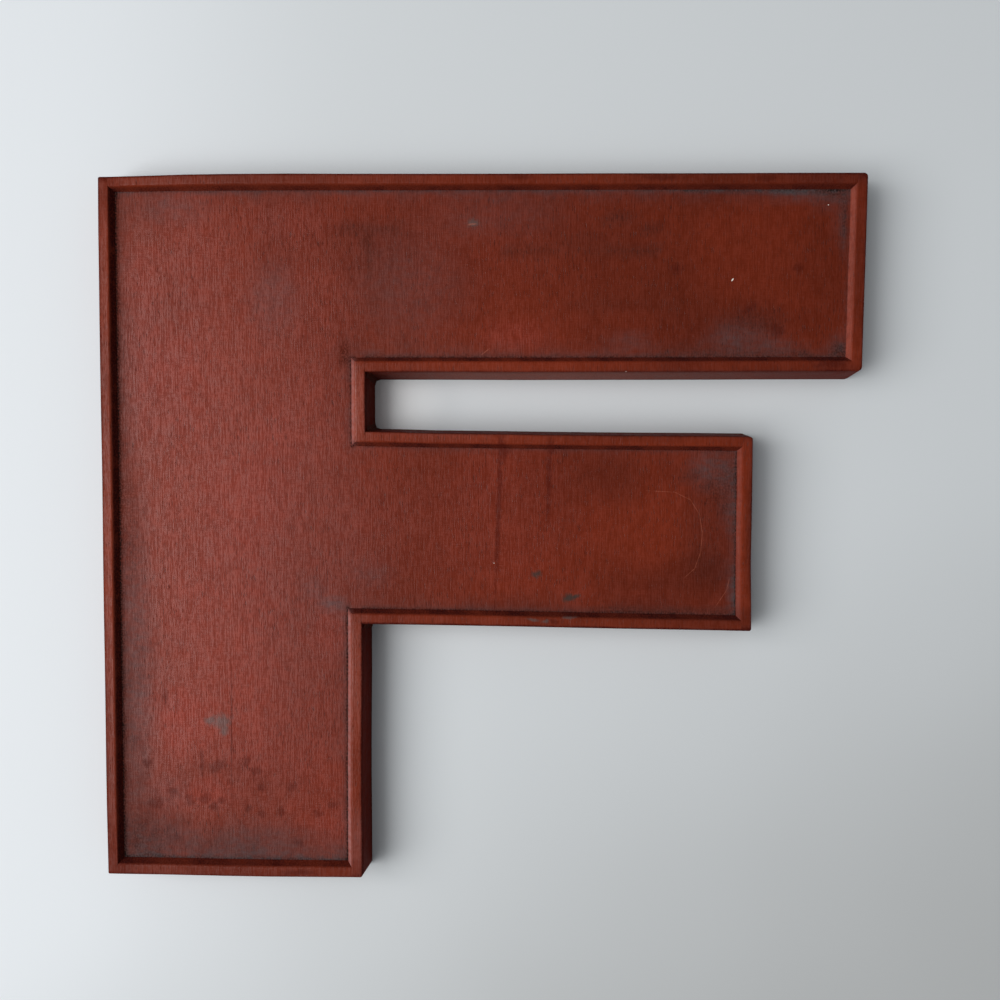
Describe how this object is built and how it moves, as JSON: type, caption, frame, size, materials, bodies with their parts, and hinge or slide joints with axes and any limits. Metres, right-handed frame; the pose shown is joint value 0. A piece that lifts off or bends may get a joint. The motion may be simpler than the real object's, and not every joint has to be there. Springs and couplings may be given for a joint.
{
  "type": "wooden letter",
  "caption": "Flat wooden capital letter F with a sunk face inside a raised bevelled rim, drafted outer walls and lapped boards behind, for signs, displays and casting patterns.",
  "frame": {"origin": "under the middle of the letter's box, on the flat back that the letter lies on", "axes": "+X along the arms in reading direction, +Y up the stem, +Z out of the face"},
  "size_m": [0.414, 0.384, 0.024],
  "materials": {
    "board_paint": "aged red-brown paint on the walls, bare aged wood on the back",
    "face_paint": "aged semi-gloss red-brown paint, dusty in the corners",
    "rim_paint": "aged semi-gloss red-brown paint, worn on the arrises",
    "screw_steel": "dull old steel",
    "pin_steel": "dull old steel under paint"
  },
  "bodies": {
    "root": {"stem_board": "board_paint", "top_arm_board": "board_paint", "middle_arm_board": "board_paint", "face_panel": "face_paint", "rim_left": "rim_paint", "rim_top": "rim_paint", "rim_top_arm_end": "rim_paint", "rim_slot_upper": "rim_paint", "rim_slot_end": "rim_paint", "rim_slot_lower": "rim_paint", "rim_middle_arm_end": "rim_paint", "rim_middle_arm_under": "rim_paint", "rim_stem_right": "rim_paint", "rim_foot": "rim_paint", "lap_screw_top_arm_1": "screw_steel", "lap_screw_top_arm_2": "screw_steel", "lap_screw_top_arm_3": "screw_steel", "lap_screw_top_arm_4": "screw_steel", "lap_screw_middle_arm_1": "screw_steel", "lap_screw_middle_arm_2": "screw_steel", "lap_screw_middle_arm_3": "screw_steel", "lap_screw_middle_arm_4": "screw_steel", "rim_pin_left_1": "pin_steel", "rim_pin_left_2": "pin_steel", "rim_pin_left_3": "pin_steel", "rim_pin_left_4": "pin_steel", "rim_pin_top_1": "pin_steel", "rim_pin_top_2": "pin_steel", "rim_pin_top_3": "pin_steel", "rim_pin_top_4": "pin_steel", "rim_pin_top_arm_end_1": "pin_steel", "rim_pin_top_arm_end_2": "pin_steel", "rim_pin_slot_upper_1": "pin_steel", "rim_pin_slot_upper_2": "pin_steel", "rim_pin_slot_upper_3": "pin_steel", "rim_pin_slot_end_1": "pin_steel", "rim_pin_slot_end_2": "pin_steel", "rim_pin_slot_lower_1": "pin_steel", "rim_pin_slot_lower_2": "pin_steel", "rim_pin_slot_lower_3": "pin_steel", "rim_pin_middle_arm_end_1": "pin_steel", "rim_pin_middle_arm_end_2": "pin_steel", "rim_pin_middle_arm_under_1": "pin_steel", "rim_pin_middle_arm_under_2": "pin_steel", "rim_pin_middle_arm_under_3": "pin_steel", "rim_pin_stem_right_1": "pin_steel", "rim_pin_stem_right_2": "pin_steel", "rim_pin_foot_1": "pin_steel", "rim_pin_foot_2": "pin_steel"}
  },
  "joints": []
}
